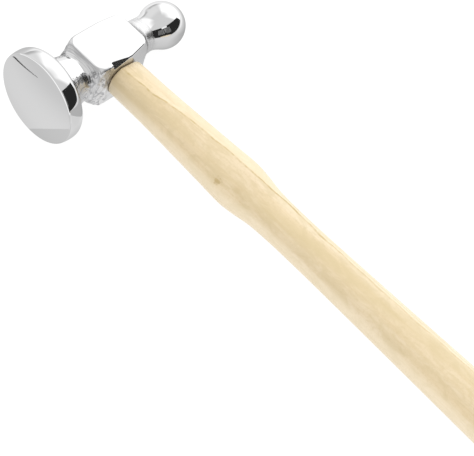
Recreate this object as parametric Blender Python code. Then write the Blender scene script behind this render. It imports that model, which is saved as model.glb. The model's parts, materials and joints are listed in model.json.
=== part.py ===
"""Ball peen hammer of the jeweller's chasing kind: a forged and polished steel head on a pale wooden handle.

The hammer is modelled in its own axes under one empty. +X runs from the head along the handle to the butt,
+Y runs from the striking face to the ball, +Z comes out of the upper cheek, and the origin is the middle of
the eye. settle() then turns and lifts the empty, so that the hammer lies on its side as it would on a bench:
the disc's rim, the ball and the butt all touch z = 0.
"""

import math

import bmesh
import bpy
from mathutils import Matrix, Vector

MM = 0.001
CLEARANCE = 0.3 * MM            # between pieces that are driven tight on the real hammer
CUT_OVERRUN = 3.0 * MM          # how far a cutter stands out of what it cuts

# Head, measured along +Y from the middle of the eye, with radii around the head's axis
FACE_EDGE_Y = -25.6 * MM
FACE_CROWN = 1.2 * MM           # height of the dome over the face's edge
FACE_FLAT_RADIUS = 3.0 * MM     # the dome's middle is flat enough to measure
FACE_EDGE_ROUND = 0.5 * MM
RIM_RADIUS = 14.0 * MM          # the disc's rim bulges like a barrel, and is widest at its peak
RIM_PEAK_Y = -23.2 * MM
RIM_BULGE = 9.5 * MM            # radius of the bulge
RIM_END_Y = -22.1 * MM
DISC_BACK_ROUND = 2.6 * MM      # from the rim round to the disc's sloping back
DISC_BACK_SLOPE = 66.0          # degrees
DISC_FOOT_RADIUS = 9.0 * MM     # where the slope turns hollow and runs out into the neck
NECK_START_Y = -17.0 * MM       # the neck is a straight cone from here to its waist
NECK_START_RADIUS = 8.05 * MM
NECK_RADIUS = 6.85 * MM
NECK_WAIST_Y = -12.2 * MM
BLOCK_FRONT_Y = -9.4 * MM       # the eye block, seen square on its upper cheek
BLOCK_WIDE_FRONT_Y = -6.5 * MM  # the block is widest between these two, and narrows to both ends
BLOCK_WIDE_BACK_Y = 2.0 * MM
BLOCK_BACK_Y = 9.3 * MM
BLOCK_HALF_WIDTH = 7.55 * MM
BLOCK_FRONT_HALF_WIDTH = 7.15 * MM
BLOCK_BACK_HALF_WIDTH = 6.35 * MM
BLOCK_HALF_HEIGHT = 7.7 * MM
BLOCK_SHIFT = 0.35 * MM         # the block stands a little off the head's axis, towards the handle
BLOCK_EDGE_ROUND = 0.8 * MM     # of the block's long edges, which is wider where they meet the flares
BLOCK_FRONT_CORNER = 2.6 * MM
BLOCK_BACK_CORNER = 2.4 * MM
CORNER_REACH = 2.2 * MM
FRONT_FLARE_POWER = 1.3         # how hollow the flare between the disc's neck and the block is
BACK_FLARE_SIDE_SLOPE = -0.55   # how steeply the block's sides and cheeks drop into the ball's neck
BACK_FLARE_CHEEK_SLOPE = -1.45
BALL_CONE_Y = 12.8 * MM         # the ball's neck is a straight cone from here to its waist
BALL_CONE_RADIUS = 5.35 * MM
BALL_NECK_RADIUS = 5.2 * MM
BALL_NECK_Y = 14.4 * MM
BALL_NECK_SHIFT = -0.55 * MM    # and the ball's neck stands off it the other way
BALL_JOIN_Y = 18.9 * MM         # where the swelling neck has become the ball
BALL_CENTRE_Y = 22.2 * MM
BALL_RADIUS = 7.0 * MM
BALL_TIP_ANGLE = 4.0            # degrees from the axis to the small flat that ends the ball

# Eye, an oval bore through the block along X that opens towards its top, which faces -X
EYE_HALF_LENGTH = 5.4 * MM
EYE_HALF_HEIGHT = 4.3 * MM
EYE_SPREAD = 0.6 * MM           # how much wider each way the eye is at its top
TOP_X = BLOCK_SHIFT - BLOCK_HALF_WIDTH

# Handle, whose half widths are across Y, at stations along X
SHOULDER_X = BLOCK_SHIFT + BLOCK_HALF_WIDTH + CLEARANCE
BUTT_X = 240.0 * MM
HANDLE_STATIONS = [
    (SHOULDER_X, 5.9 * MM),
    (22.0 * MM, 6.15 * MM),
    (45.0 * MM, 7.1 * MM),
    (54.0 * MM, 7.5 * MM),
    (58.5 * MM, 7.1 * MM),
    (65.0 * MM, 6.2 * MM),
    (78.0 * MM, 5.95 * MM),
    (100.0 * MM, 6.3 * MM),
    (133.0 * MM, 7.05 * MM),
    (175.0 * MM, 8.1 * MM),
    (212.0 * MM, 9.2 * MM),
    (232.0 * MM, 9.4 * MM),
    (BUTT_X, 9.0 * MM),
]
HANDLE_FLATNESS = 0.85          # thickness over width
HANDLE_SQUARENESS = 2.4         # superellipse power of its section
HANDLE_RING_GAP = 4.5 * MM
SHOULDER_CHAMFER = 0.35 * MM
BUTT_ROUND = 1.6 * MM
OVAL = 2.0                      # superellipse power of the eye and the tenon

# Wedges, driven into the end of the tenon from -X
WOOD_WEDGE_TIP_X = 4.0 * MM
WOOD_WEDGE_HALF_WIDTH = 4.7 * MM
WOOD_WEDGE_HALF_THICK = 1.1 * MM
WOOD_WEDGE_TIP_HALF_THICK = 0.3 * MM
KERF_HALF_WIDTH = EYE_HALF_LENGTH + EYE_SPREAD + CUT_OVERRUN    # sawn right through the tenon
STEEL_WEDGE_TIP_X = 0.8 * MM
STEEL_WEDGE_HALF_WIDTH = 3.4 * MM
STEEL_WEDGE_HALF_THICK = 0.9 * MM
STEEL_WEDGE_TIP_HALF_THICK = 0.25 * MM
STEEL_WEDGE_BARBS = 3
BARB_DEPTH = 0.22 * MM

# How finely round shapes are divided
CORNER_STEPS = 10               # per quarter turn of a head section
DOME_STEPS = 4
FACE_EDGE_STEPS = 3
RIM_STEPS = 3
BACK_EDGE_STEPS = 4
FOOT_STEPS = 5
FLARE_STEPS = 4
SWELL_STEPS = 5
BALL_STEPS = 12
OVAL_STEPS = 40
BUTT_STEPS = 3
CREASE_ANGLE = 30.0             # degrees over which an edge is shaded sharp
SETTLE_ROUNDS = 8


def clear_scene():
    for item in list(bpy.data.objects):
        bpy.data.objects.remove(item, do_unlink=True)


def make_material(name, colour, roughness, metallic):
    material = bpy.data.materials.new(name)
    material.use_nodes = True
    shader = material.node_tree.nodes["Principled BSDF"]
    shader.inputs["Base Color"].default_value = (*colour, 1.0)
    shader.inputs["Roughness"].default_value = roughness
    shader.inputs["Metallic"].default_value = metallic
    return material


def add_object(name, mesh, rig):
    item = bpy.data.objects.new(name, mesh)
    bpy.context.collection.objects.link(item)
    item.parent = rig
    return item


def loft(name, rings, rig, material=None):
    """A closed body through rings of equally many points, with a flat cap on its first and last ring."""
    body = bmesh.new()
    loops = [[body.verts.new(point) for point in ring] for ring in rings]
    count = len(loops[0])
    for lower, upper in zip(loops, loops[1:]):
        for index in range(count):
            following = (index + 1) % count
            body.faces.new((lower[index], upper[index], upper[following], lower[following]))
    body.faces.new(loops[0])
    body.faces.new(reversed(loops[-1]))
    bmesh.ops.recalc_face_normals(body, faces=body.faces)
    mesh = bpy.data.meshes.new(name)
    body.to_mesh(mesh)
    body.free()
    mesh.shade_smooth()
    mesh.set_sharp_from_angle(angle=math.radians(CREASE_ANGLE))
    if material is not None:
        mesh.materials.append(material)
    return add_object(name, mesh, rig)


def cut(target, cutter):
    modifier = target.modifiers.new(cutter.name, "BOOLEAN")
    modifier.operation = "DIFFERENCE"
    modifier.solver = "EXACT"
    modifier.object = cutter


def as_cutter(item):
    item.hide_render = True
    item.display_type = "WIRE"
    return item


def hermite(start, end, start_slope, end_slope, span, share):
    """Cubic between two values a span apart, at a share from 0 to 1 of the way."""
    square = share * share
    cube = square * share
    return (
        start * (2 * cube - 3 * square + 1)
        + end * (3 * square - 2 * cube)
        + span * start_slope * (cube - 2 * square + share)
        + span * end_slope * (cube - square)
    )


# ---------------------------------------------------------------- head

def smoothstep(low, high, value):
    share = min(1.0, max(0.0, (value - low) / (high - low)))
    return share * share * (3 - 2 * share)


def head_shift(y):
    """How far the head's section at y stands off its axis, towards the handle."""
    to_block = smoothstep(NECK_WAIST_Y, BLOCK_FRONT_Y, y)
    from_block = min(1.0, max(0.0, (y - BLOCK_WIDE_BACK_Y) / (BLOCK_BACK_Y - BLOCK_WIDE_BACK_Y)))
    by_ball = smoothstep(BLOCK_BACK_Y, BALL_CONE_Y, y) * (1 - smoothstep(BALL_NECK_Y, BALL_JOIN_Y, y))
    return BLOCK_SHIFT * (to_block - from_block) + BALL_NECK_SHIFT * by_ball


def head_ring(y, half_width, half_height, corner):
    """A rounded rectangle, or a circle where its sizes are equal."""
    ring = []
    for quarter, (side, rise) in enumerate(((1, 1), (-1, 1), (-1, -1), (1, -1))):
        for step in range(CORNER_STEPS):
            angle = math.pi / 2 * (quarter + (step + 0.5) / CORNER_STEPS)
            x = side * (half_width - corner) + corner * math.cos(angle)
            z = rise * (half_height - corner) + corner * math.sin(angle)
            ring.append((x + head_shift(y), y, z))
    return ring


def round_ring(y, radius):
    return head_ring(y, radius, radius, radius)


def rim_radius(y):
    return RIM_RADIUS - (y - RIM_PEAK_Y) ** 2 / (2 * RIM_BULGE)


def face_rings():
    """The domed striking face, from its flat middle out to its rounded edge."""
    face_radius = rim_radius(FACE_EDGE_Y + FACE_EDGE_ROUND)
    dome_radius = (face_radius ** 2 + FACE_CROWN ** 2) / (2 * FACE_CROWN)
    apex_y = FACE_EDGE_Y - FACE_CROWN
    inner_edge = face_radius - FACE_EDGE_ROUND
    rings = [round_ring(apex_y, FACE_FLAT_RADIUS)]
    for step in range(1, DOME_STEPS + 1):
        radius = FACE_FLAT_RADIUS + (inner_edge - FACE_FLAT_RADIUS) * step / DOME_STEPS
        edge_y = apex_y + dome_radius - math.sqrt(dome_radius ** 2 - radius ** 2)
        rings.append(round_ring(edge_y, radius))
    for step in range(1, FACE_EDGE_STEPS + 1):
        angle = math.pi / 2 * step / FACE_EDGE_STEPS
        radius = inner_edge + FACE_EDGE_ROUND * math.sin(angle)
        rings.append(round_ring(edge_y + FACE_EDGE_ROUND * (1 - math.cos(angle)), radius))
    return rings


def disc_back_rings():
    """The disc's barrel rim, its rounded back edge, and a slope that runs out hollow into the neck."""
    neck_slope = (NECK_RADIUS - NECK_START_RADIUS) / (NECK_WAIST_Y - NECK_START_Y)
    rings = []
    start_y = FACE_EDGE_Y + FACE_EDGE_ROUND
    for step in range(1, RIM_STEPS + 1):
        y = start_y + (RIM_END_Y - start_y) * step / RIM_STEPS
        rings.append(round_ring(y, rim_radius(y)))
    lean = math.asin((RIM_END_Y - RIM_PEAK_Y) / RIM_BULGE)
    slope = math.radians(DISC_BACK_SLOPE)
    for step in range(1, BACK_EDGE_STEPS + 1):
        angle = lean + (slope - lean) * step / BACK_EDGE_STEPS
        back_y = RIM_END_Y + DISC_BACK_ROUND * (math.sin(angle) - math.sin(lean))
        back_radius = rim_radius(RIM_END_Y) - DISC_BACK_ROUND * (math.cos(lean) - math.cos(angle))
        rings.append(round_ring(back_y, back_radius))
    foot_y = back_y + (back_radius - DISC_FOOT_RADIUS) / math.tan(slope)
    span = NECK_START_Y - foot_y
    for step in range(FOOT_STEPS):
        share = step / FOOT_STEPS
        radius = hermite(DISC_FOOT_RADIUS, NECK_START_RADIUS, -math.tan(slope), neck_slope, span, share)
        rings.append(round_ring(foot_y + span * share, radius))
    return rings


def block_corner(y):
    """The radius of the eye block's long edges at y."""
    front = 1 - smoothstep(BLOCK_FRONT_Y, BLOCK_FRONT_Y + CORNER_REACH, y)
    back = smoothstep(BLOCK_BACK_Y - CORNER_REACH, BLOCK_BACK_Y, y)
    return (BLOCK_EDGE_ROUND + (BLOCK_FRONT_CORNER - BLOCK_EDGE_ROUND) * front ** 2
            + (BLOCK_BACK_CORNER - BLOCK_EDGE_ROUND) * back ** 2)


def block_half_width(y):
    """Half the width of the eye block at y, without its shift."""
    if y < BLOCK_WIDE_FRONT_Y:
        share = (y - BLOCK_FRONT_Y) / (BLOCK_WIDE_FRONT_Y - BLOCK_FRONT_Y)
        return BLOCK_FRONT_HALF_WIDTH + (BLOCK_HALF_WIDTH - BLOCK_FRONT_HALF_WIDTH) * share
    if y > BLOCK_WIDE_BACK_Y:
        share = (BLOCK_BACK_Y - y) / (BLOCK_BACK_Y - BLOCK_WIDE_BACK_Y)
        return BLOCK_BACK_HALF_WIDTH + (BLOCK_HALF_WIDTH - BLOCK_BACK_HALF_WIDTH) * share
    return BLOCK_HALF_WIDTH


def block_ring(y):
    return head_ring(y, block_half_width(y), BLOCK_HALF_HEIGHT, block_corner(y))


def front_flare_rings():
    """The neck, and the sections that widen from its waist to the square front of the block."""
    rings = [round_ring(NECK_START_Y, NECK_START_RADIUS)]
    for step in range(FLARE_STEPS + 1):
        share = step / FLARE_STEPS
        spread = share ** FRONT_FLARE_POWER
        rings.append(head_ring(NECK_WAIST_Y + (BLOCK_FRONT_Y - NECK_WAIST_Y) * share,
                               NECK_RADIUS + (BLOCK_FRONT_HALF_WIDTH - NECK_RADIUS) * spread,
                               NECK_RADIUS + (BLOCK_HALF_HEIGHT - NECK_RADIUS) * spread,
                               NECK_RADIUS + (BLOCK_FRONT_CORNER - NECK_RADIUS) * spread))
    return rings


def back_flare_rings():
    """The sections that draw in from the square back of the block to the cone of the ball's neck."""
    span = BALL_CONE_Y - BLOCK_BACK_Y
    cone_slope = (BALL_NECK_RADIUS - BALL_CONE_RADIUS) / (BALL_NECK_Y - BALL_CONE_Y)
    rings = []
    for step in range(FLARE_STEPS + 1):
        share = step / FLARE_STEPS
        half_width = hermite(BLOCK_BACK_HALF_WIDTH, BALL_CONE_RADIUS, BACK_FLARE_SIDE_SLOPE,
                             cone_slope, span, share)
        half_height = hermite(BLOCK_HALF_HEIGHT, BALL_CONE_RADIUS, BACK_FLARE_CHEEK_SLOPE,
                              cone_slope, span, share)
        corner = half_width - (BLOCK_BACK_HALF_WIDTH - BLOCK_BACK_CORNER) * (1 - share) ** 2
        rings.append(head_ring(BLOCK_BACK_Y + span * share, half_width, half_height, corner))
    return rings


def block_rings():
    """The eye block between its two flares."""
    front_middle = BLOCK_FRONT_Y + CORNER_REACH / 2
    back_start = BLOCK_BACK_Y - CORNER_REACH
    back_middle = BLOCK_BACK_Y - CORNER_REACH / 2
    places = (front_middle, BLOCK_WIDE_FRONT_Y, BLOCK_WIDE_BACK_Y, back_start, back_middle)
    return [block_ring(y) for y in places]


def ball_rings():
    """The waisted neck that swells into the ball, and the ball itself."""
    start_of_ball = BALL_JOIN_Y - BALL_CENTRE_Y
    join_radius = math.sqrt(BALL_RADIUS ** 2 - start_of_ball ** 2)
    swell = BALL_JOIN_Y - BALL_NECK_Y
    rise = join_radius - BALL_NECK_RADIUS
    power = -start_of_ball / join_radius * swell / rise
    rings = []
    for step in range(SWELL_STEPS):
        share = step / SWELL_STEPS
        rings.append(round_ring(BALL_NECK_Y + swell * share, BALL_NECK_RADIUS + rise * share ** power))
    start_angle = math.acos(start_of_ball / BALL_RADIUS)
    end_angle = math.radians(BALL_TIP_ANGLE)
    for step in range(BALL_STEPS + 1):
        angle = start_angle + (end_angle - start_angle) * step / BALL_STEPS
        rings.append(round_ring(BALL_CENTRE_Y + BALL_RADIUS * math.cos(angle), BALL_RADIUS * math.sin(angle)))
    return rings


def oval_ring(x, half_width, half_height, power):
    """A superellipse around the handle's axis."""
    ring = []
    for step in range(OVAL_STEPS):
        angle = 2 * math.pi * (step + 0.5) / OVAL_STEPS
        cosine, sine = math.cos(angle), math.sin(angle)
        y = half_width * math.copysign(abs(cosine) ** (2 / power), cosine)
        z = half_height * math.copysign(abs(sine) ** (2 / power), sine)
        ring.append((x, y, z))
    return ring


def eye_rings(x_values, clearance):
    """The eye's oval at each x, drawn in by a clearance for the tenon that fills it."""
    rings = []
    for x in x_values:
        spread = EYE_SPREAD * max(0.0, x / TOP_X)
        rings.append(oval_ring(x, EYE_HALF_LENGTH + spread - clearance,
                               EYE_HALF_HEIGHT + spread - clearance, OVAL))
    return rings


def make_head(rig, steel):
    rings = face_rings() + disc_back_rings() + front_flare_rings()
    rings += block_rings() + back_flare_rings() + ball_rings()
    head = loft("head", rings, rig, steel)
    eye_length = (TOP_X - CUT_OVERRUN, 0.0, SHOULDER_X + CUT_OVERRUN)
    cut(head, as_cutter(loft("eye_cutter", eye_rings(eye_length, 0.0), rig)))
    return head


# ---------------------------------------------------------------- handle

def handle_half_width(x):
    """A smooth curve through the handle's stations, with slopes taken from their neighbours."""
    for index in range(len(HANDLE_STATIONS) - 1):
        (start_x, start), (end_x, end) = HANDLE_STATIONS[index:index + 2]
        if x <= end_x:
            break
    before_x, before = HANDLE_STATIONS[max(index - 1, 0)]
    after_x, after = HANDLE_STATIONS[min(index + 2, len(HANDLE_STATIONS) - 1)]
    span = end_x - start_x
    start_slope = (end - before) / (end_x - before_x)
    end_slope = (after - start) / (after_x - start_x)
    return hermite(start, end, start_slope, end_slope, span, (x - start_x) / span)


def handle_ring(x, inset=0.0):
    half_width = handle_half_width(x)
    return oval_ring(x, half_width - inset, half_width * HANDLE_FLATNESS - inset, HANDLE_SQUARENESS)


def make_handle(rig, wood):
    rings = eye_rings((TOP_X, 0.0, SHOULDER_X), CLEARANCE)
    rings.append(handle_ring(SHOULDER_X, SHOULDER_CHAMFER))
    start_x = SHOULDER_X + SHOULDER_CHAMFER
    end_x = BUTT_X - BUTT_ROUND
    count = round((end_x - start_x) / HANDLE_RING_GAP)
    rings += [handle_ring(start_x + (end_x - start_x) * step / count) for step in range(count + 1)]
    for step in range(1, BUTT_STEPS + 1):
        angle = math.pi / 2 * step / BUTT_STEPS
        rings.append(handle_ring(end_x + BUTT_ROUND * math.sin(angle), BUTT_ROUND * (1 - math.cos(angle))))
    return loft("handle", rings, rig, wood)


# ---------------------------------------------------------------- wedges

def flat_ring(x, half_width, half_thick, on_edge):
    """A flat rectangle at x, as wide as it is along Y, or along Z if it stands on edge."""
    corners = [(side * half_width, rise * half_thick) for side, rise in ((1, 1), (-1, 1), (-1, -1), (1, -1))]
    return [(x, thick, wide) if on_edge else (x, wide, thick) for wide, thick in corners]


def wedge_cutter(name, tip_x, half_width, half_thick, tip_half_thick, on_edge, rig):
    """The room that a wedge takes up with its clearance, open at the top of the eye."""
    rings = [
        flat_ring(TOP_X - CUT_OVERRUN, half_width, half_thick + CLEARANCE, on_edge),
        flat_ring(TOP_X, half_width, half_thick + CLEARANCE, on_edge),
        flat_ring(tip_x + CLEARANCE, half_width, tip_half_thick + CLEARANCE, on_edge),
    ]
    return as_cutter(loft(name, rings, rig))


def make_wood_wedge(rig, wood):
    """A flat taper along the eye's long side, and the cutter of the kerf that it spreads."""
    rings = [
        flat_ring(TOP_X, WOOD_WEDGE_HALF_WIDTH, WOOD_WEDGE_HALF_THICK, False),
        flat_ring(WOOD_WEDGE_TIP_X, WOOD_WEDGE_HALF_WIDTH, WOOD_WEDGE_TIP_HALF_THICK, False),
    ]
    wedge = loft("wood_wedge", rings, rig, wood)
    kerf = wedge_cutter("kerf_cutter", WOOD_WEDGE_TIP_X, KERF_HALF_WIDTH, WOOD_WEDGE_HALF_THICK,
                        WOOD_WEDGE_TIP_HALF_THICK, False, rig)
    return wedge, kerf


def make_steel_wedge(rig, steel):
    """A wedge across the wooden one, with barbs on both flats that keep it in, and its cutter."""
    outline = []
    for barb in range(STEEL_WEDGE_BARBS):
        for share, depth in ((barb / STEEL_WEDGE_BARBS, 0.0), ((barb + 1) / STEEL_WEDGE_BARBS, BARB_DEPTH)):
            x = TOP_X + (STEEL_WEDGE_TIP_X - TOP_X) * share
            thick = STEEL_WEDGE_HALF_THICK + (STEEL_WEDGE_TIP_HALF_THICK - STEEL_WEDGE_HALF_THICK) * share
            outline.append((x, thick - depth))
    outline[-1] = (STEEL_WEDGE_TIP_X, STEEL_WEDGE_TIP_HALF_THICK)
    outline += [(x, -y) for x, y in reversed(outline)]
    rings = [[(x, y, z) for x, y in outline] for z in (-STEEL_WEDGE_HALF_WIDTH, STEEL_WEDGE_HALF_WIDTH)]
    wedge = loft("steel_wedge", rings, rig, steel)
    slot = wedge_cutter("steel_wedge_cutter", STEEL_WEDGE_TIP_X, STEEL_WEDGE_HALF_WIDTH + CLEARANCE,
                        STEEL_WEDGE_HALF_THICK, STEEL_WEDGE_TIP_HALF_THICK, True, rig)
    return wedge, slot


# ---------------------------------------------------------------- resting pose

def settle(rig, head, handle):
    """Lays the hammer on z = 0 on its rim, ball and butt, with its box centred over the origin."""
    head_points = [vertex.co for vertex in head.data.vertices]
    handle_points = [vertex.co for vertex in handle.data.vertices]
    rim = [point for point in head_points if point.y < NECK_START_Y]
    ball = [point for point in head_points if point.y > BALL_NECK_Y]
    butt = [point for point in handle_points if point.x > BUTT_X / 2]
    turn = Matrix.Identity(3)
    for _ in range(SETTLE_ROUNDS):
        lowest = [min(group, key=lambda point: (turn @ point).z) for group in (rim, ball, butt)]
        up = (lowest[1] - lowest[0]).cross(lowest[2] - lowest[0]).normalized()
        if up.z < 0:
            up.negate()
        forward = (Vector((1, 0, 0)) - up * up.x).normalized()
        turn = Matrix((forward, up.cross(forward), up))
    turned = [turn @ point for point in head_points + handle_points]
    low = Vector([min(point[axis] for point in turned) for axis in range(3)])
    high = Vector([max(point[axis] for point in turned) for axis in range(3)])
    shift = Vector((-(low.x + high.x) / 2, -(low.y + high.y) / 2, -low.z))
    rig.matrix_world = Matrix.Translation(shift) @ turn.to_4x4()


def main():
    clear_scene()
    rig = add_object("hammer", None, None)
    polished_steel = make_material("polished_steel", (0.80, 0.80, 0.79), 0.10, 1.0)
    pale_wood = make_material("pale_wood", (0.83, 0.67, 0.44), 0.45, 0.0)
    wedge_wood = make_material("wedge_wood", (0.70, 0.52, 0.31), 0.60, 0.0)
    wedge_steel = make_material("wedge_steel", (0.50, 0.50, 0.50), 0.45, 1.0)
    head = make_head(rig, polished_steel)
    handle = make_handle(rig, pale_wood)
    wood_wedge, kerf = make_wood_wedge(rig, wedge_wood)
    steel_wedge, slot = make_steel_wedge(rig, wedge_steel)
    cut(handle, kerf)
    cut(handle, slot)
    cut(wood_wedge, slot)
    settle(rig, head, handle)


main()
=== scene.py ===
"""Ball peen hammer: a polished steel head on a pale hardwood handle, lying on a pale floor in a soft studio.

Shapes are made in the hammer's own axes, in millimetres: +X from the head to the butt, +Y from the striking
face to the ball, +Z out of the upper cheek, with the middle of the eye as origin. The record's mounts say how
those axes lie in the row frame.
"""
import json
import math

import bmesh
import bpy
import numpy as np
from mathutils import Matrix, Vector, noise


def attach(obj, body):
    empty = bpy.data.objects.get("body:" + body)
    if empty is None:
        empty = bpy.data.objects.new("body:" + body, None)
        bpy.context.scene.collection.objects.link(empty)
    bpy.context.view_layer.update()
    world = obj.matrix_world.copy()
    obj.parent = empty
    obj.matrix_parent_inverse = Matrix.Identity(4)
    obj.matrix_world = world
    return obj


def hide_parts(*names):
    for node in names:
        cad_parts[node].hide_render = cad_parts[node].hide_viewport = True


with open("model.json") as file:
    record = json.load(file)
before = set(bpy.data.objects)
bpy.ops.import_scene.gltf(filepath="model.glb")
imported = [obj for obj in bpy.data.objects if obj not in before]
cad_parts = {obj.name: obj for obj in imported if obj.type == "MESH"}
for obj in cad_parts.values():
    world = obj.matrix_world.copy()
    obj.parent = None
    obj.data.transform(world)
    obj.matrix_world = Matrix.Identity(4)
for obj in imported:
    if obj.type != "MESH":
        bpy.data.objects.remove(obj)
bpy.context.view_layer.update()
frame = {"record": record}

MM = 0.001

# Head, as in the CAD part, with radii around the head's axis
FACE_EDGE_Y = -25.6
FACE_CROWN = 1.2
FACE_EDGE_ROUND = 0.5
RIM_RADIUS = 14.0
RIM_PEAK_Y = -23.2
RIM_BULGE = 9.5
RIM_END_Y = -22.1
DISC_BACK_ROUND = 2.6
DISC_BACK_SLOPE = 66.0
DISC_FOOT_RADIUS = 9.0
NECK_START_Y = -17.0
NECK_START_RADIUS = 8.05
NECK_RADIUS = 6.85
NECK_WAIST_Y = -12.2
BLOCK_FRONT_Y = -9.4
BLOCK_WIDE_FRONT_Y = -6.5
BLOCK_WIDE_BACK_Y = 2.0
BLOCK_BACK_Y = 9.3
BLOCK_STATIONS = (BLOCK_FRONT_Y, BLOCK_WIDE_FRONT_Y, BLOCK_WIDE_BACK_Y, BLOCK_BACK_Y)
BLOCK_HALF_WIDTH = 7.55
BLOCK_FRONT_HALF_WIDTH = 7.15
BLOCK_BACK_HALF_WIDTH = 6.35
BLOCK_HALF_HEIGHT = 7.7
BLOCK_EDGE_ROUND = 0.8
BLOCK_FRONT_CORNER = 2.6
BLOCK_BACK_CORNER = 2.4
CORNER_REACH = 2.2
BLOCK_SHIFT = 0.35
FRONT_FLARE_POWER = 1.3
BACK_FLARE_SIDE_SLOPE = -0.55
BACK_FLARE_CHEEK_SLOPE = -1.45
BALL_CONE_Y = 12.8
BALL_CONE_RADIUS = 5.35
BALL_NECK_RADIUS = 5.2
BALL_NECK_Y = 14.4
BALL_NECK_SHIFT = -0.55
BALL_JOIN_Y = 18.9
BALL_CENTRE_Y = 22.2
BALL_RADIUS = 7.0

# The flat ground over the eye's mouth, and how uneven the flanks are: where that begins and fades
FLAT_START_Y = -4.9
FLAT_END_Y = 2.2
FLAT_DEPTH = 1.25
FLAT_LEAN = Vector((0.74, 0.67)).normalized()
FLAT_RUN_OUT = 0.4
UNEVENNESS = 0.25
UNEVEN_FLARE = (-16.5, -13.0, -7.0, -4.0)
UNEVEN_BALL_NECK = (8.0, 10.0, 14.0, 16.0)
UNEVEN_BALL_SHARE = 0.5
UNEVEN_SIDE_X = (4.0, 6.0)
UNEVEN_TOP_Z = (3.0, 6.0)
COARSE_WAVES = 0.55
FINE_WAVES = 1.3
FINE_SHARE = 0.5

# The eye, which widens towards the head's top
EYE_HALF_LENGTH = 5.4
EYE_HALF_HEIGHT = 4.3
EYE_SPREAD = 0.6
EYE_POINTS = 96
EYE_CUTTER_X = (-12.0, 0.0, 12.0)
TOP_X = BLOCK_SHIFT - BLOCK_HALF_WIDTH

# Handle: half widths across Y at stations along X, and the rings of its tenon
SHOULDER_X = BLOCK_SHIFT + BLOCK_HALF_WIDTH + 0.05
BUTT_X = 240.0
HANDLE_STATIONS = [
    (SHOULDER_X, 5.9), (22.0, 6.15), (45.0, 7.1), (54.0, 7.5), (58.5, 7.1), (65.0, 6.2), (78.0, 5.95),
    (100.0, 6.3), (133.0, 7.05), (175.0, 8.1), (212.0, 9.2), (232.0, 9.4), (BUTT_X, 9.0),
]
HANDLE_FLATNESS = 0.85
HANDLE_SQUARENESS = 2.4
SHOULDER_ROUND = 0.5
BUTT_ROUND = 1.6
SHOULDER_STEPS = 5
BUTT_STEPS = 8
HANDLE_POINTS = 160
TENON_GAP = 0.03
TENON_PROUD = 0.15
TENON_EDGE_ROUND = 0.08
TENON_SHARES = (0.02, 0.2, 0.4, 0.6, 0.8, 0.94, 0.985)
TENON_X = (-5.0, -2.5, 0.0, 2.5, 5.0, SHOULDER_X)

# Lines along the handle, as Y at stations along X: its ridge, and a darker band down the grip
RIDGE_STATIONS = [
    (SHOULDER_X, -2.0), (19.0, -1.35), (32.0, 0.15), (43.0, 0.7), (52.5, 1.2), (58.5, 1.5), (64.5, 2.2),
    (71.5, 2.75), (85.5, 2.2), (133.0, 2.6), (BUTT_X, 3.2),
]
RIDGE_HEIGHT = 0.5
RIDGE_BALL_REACH = 3.0
RIDGE_FACE_REACH = 5.5
RIDGE_END = (140.0, 215.0)
DARK_BAND_STATIONS = [(SHOULDER_X, -4.5), (55.0, -4.2), (70.0, -2.8), (95.0, -1.0), (133.0, 0.9), (BUTT_X, 2.0)]

# Knots: place, size and strength
KNOTS = [((51.3, -6.6, 3.5), 1.5, 0.85), ((57.6, -5.2, 4.9), 1.9, 0.22), ((60.0, -6.1, 4.2), 1.5, 0.22)]

# Wedges: half sizes across Y and Z at the driven end and at the tip
WOOD_WEDGE_TIP_X = 4.0
WOOD_WEDGE_SIZE = (4.7, 1.1)
WOOD_WEDGE_TIP_SIZE = (4.7, 0.3)
WOOD_WEDGE_PROUD = 0.22
STEEL_WEDGE_TIP_X = 0.8
STEEL_WEDGE_SIZE = (0.9, 3.4)
STEEL_WEDGE_TIP_SIZE = (0.25, 3.4)
STEEL_WEDGE_PROUD = 0.30
STEEL_WEDGE_BARBS = 3
STEEL_WEDGE_BARB_DEPTH = 0.22
WEDGE_STEPS = 24
WEDGE_POINTS = 64
WEDGE_SQUARENESS = 7.0
WEDGE_EDGE_ROUND = 0.12
WEDGE_BODY_END_X = TOP_X + 1.0
WEDGE_END_SHARES = (0.95, 0.8, 0.6, 0.4, 0.2, 0.02)

# How finely the head is divided, and the radius of its first and last ring
AXIS_RADIUS = 0.03
RING_POINTS = 208
DIAGONAL_CROWDING = 0.6
SAMPLE_GAP = 0.05
CREASE_BLUR = 0.2
RING_GAP = 0.34
TURN_WEIGHT = 5.0

# Camera, in the hammer's axes
CAMERA_PLACE = Vector((213.404, -276.863, 387.376))
CAMERA_RIGHT = Vector((0.692634, 0.690745, 0.207676))
CAMERA_BACK = Vector((0.302416, -0.539499, 0.785803))
CAMERA_LENS = 140.647
CAMERA_SENSOR = 36.0
CAMERA_CLIP = 0.01

# Angles in degrees beyond which an edge is shown sharp
SHARP_ANGLE = 40.0
HEAD_SHARP_ANGLE = 70.0


# ---------------- axes

mounts = {mount["name"]: mount for mount in frame["record"]["mounts"]}
along = Vector(mounts["butt_end"]["axis"]).normalized()
across = -Vector(mounts["striking_face"]["axis"]).normalized()
upward = along.cross(across)
eye_middle = Vector(mounts["striking_face"]["pos_m"]) - across * (FACE_EDGE_Y - FACE_CROWN) * MM
turn = Matrix((along, across, upward)).transposed()
place = Matrix.Translation(eye_middle) @ turn.to_4x4() @ Matrix.Scale(MM, 4)


def in_frame(points):
    """Points in the hammer's axes, in mm, as row frame points in metres."""
    flat = np.asarray(points, float).reshape(-1, 3)
    matrix = np.array(place)
    return flat @ matrix[:3, :3].T + matrix[:3, 3]


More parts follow.
